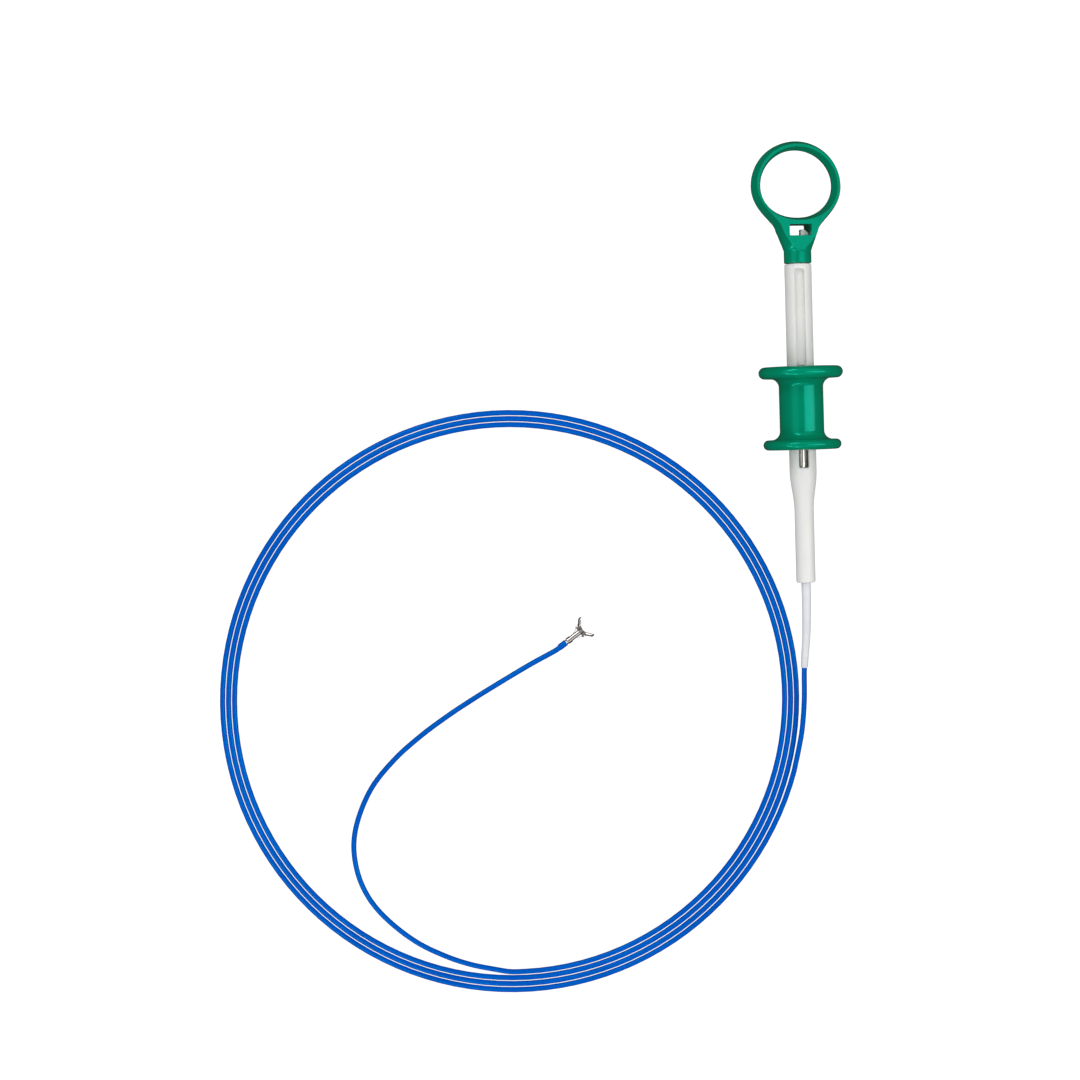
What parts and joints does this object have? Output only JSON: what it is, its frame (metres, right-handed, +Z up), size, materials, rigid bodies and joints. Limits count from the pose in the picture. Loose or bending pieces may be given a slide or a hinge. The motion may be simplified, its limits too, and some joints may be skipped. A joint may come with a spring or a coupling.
{
  "type": "endoscopic biopsy forceps",
  "caption": "Single-use biopsy forceps: thumb ring and slotted shaft with a sliding spool, coiled blue sheath, and a pair of cup jaws worked by crossed levers.",
  "frame": {"origin": "On the table, under the middle of the box round the handle and the tip, without the sheath and the pieces on it.", "axes": "+Y along the handle in plan, from its tail to the thumb ring; +Z up from the table that the spool's rims and the coil lie on; +X from the coil towards the handle."},
  "size_m": [0.2536, 0.3347, 0.0331],
  "materials": {
    "green_plastic": "gloss moulded green plastic",
    "white_plastic": "semi-gloss moulded white plastic",
    "sleeve_plastic": "soft satin white tubing",
    "blue_sheath": "smooth blue polymer coating",
    "steel": "bright drawn and machined stainless steel",
    "brass": "turned brass"
  },
  "bodies": {
    "root": {"handle_shaft": "white_plastic", "thumb_ring": "green_plastic", "sheath_gland": "brass", "strain_relief": "sleeve_plastic", "sheath_lead": "blue_sheath", "sheath_coil": "blue_sheath", "sheath_tail": "blue_sheath", "tip_collar": "blue_sheath", "sheath_winding": "steel", "clevis": "steel", "pivot_pin": "steel"},
    "spool": {"spool": "green_plastic", "slider_key": "brass", "clamp_screw": "steel", "operating_tube": "steel", "pull_wire": "steel"},
    "pull_block": {"pull_block": "steel", "tip_wire": "steel"},
    "right_jaw": {"right_jaw": "steel"},
    "left_jaw": {"left_jaw": "steel"},
    "right_link": {"right_link": "steel"},
    "left_link": {"left_link": "steel"}
  },
  "joints": [
    {"name": "spool_slide", "type": "slide", "parent": "root", "child": "spool", "axis": [0, 0.999, 0.0441], "range_m": [0, 0.012]},
    {"name": "block_slide", "type": "slide", "parent": "root", "child": "pull_block", "axis": [-0.8106, -0.5857, 0], "range_m": [0, 0.0019]},
    {"name": "right_jaw_pivot", "type": "hinge", "parent": "root", "child": "right_jaw", "pos_m": [-0.04939, -0.09208, 0.0013], "axis": [0, 0, 1], "range_deg": [0, 52.01]},
    {"name": "left_jaw_pivot", "type": "hinge", "parent": "root", "child": "left_jaw", "pos_m": [-0.04939, -0.09208, 0.0013], "axis": [0, 0, -1], "range_deg": [0, 52.01]},
    {"name": "right_link_pivot", "type": "hinge", "parent": "right_jaw", "child": "right_link", "pos_m": [-0.05128, -0.09068, 0.0013], "axis": [0, 0, -1], "range_deg": [0, 71.38]},
    {"name": "left_link_pivot", "type": "hinge", "parent": "left_jaw", "child": "left_link", "pos_m": [-0.04865, -0.09431, 0.0013], "axis": [0, 0, 1], "range_deg": [0, 71.38]}
  ],
  "couplings": [
    {"joint": "block_slide", "follows": "spool_slide", "ratio": 0.15817},
    {"joint": "right_jaw_pivot", "follows": "spool_slide", "rad_per_m": 75.631},
    {"joint": "left_jaw_pivot", "follows": "spool_slide", "rad_per_m": 75.631},
    {"joint": "right_link_pivot", "follows": "spool_slide", "rad_per_m": 103.8},
    {"joint": "left_link_pivot", "follows": "spool_slide", "rad_per_m": 103.8}
  ]
}
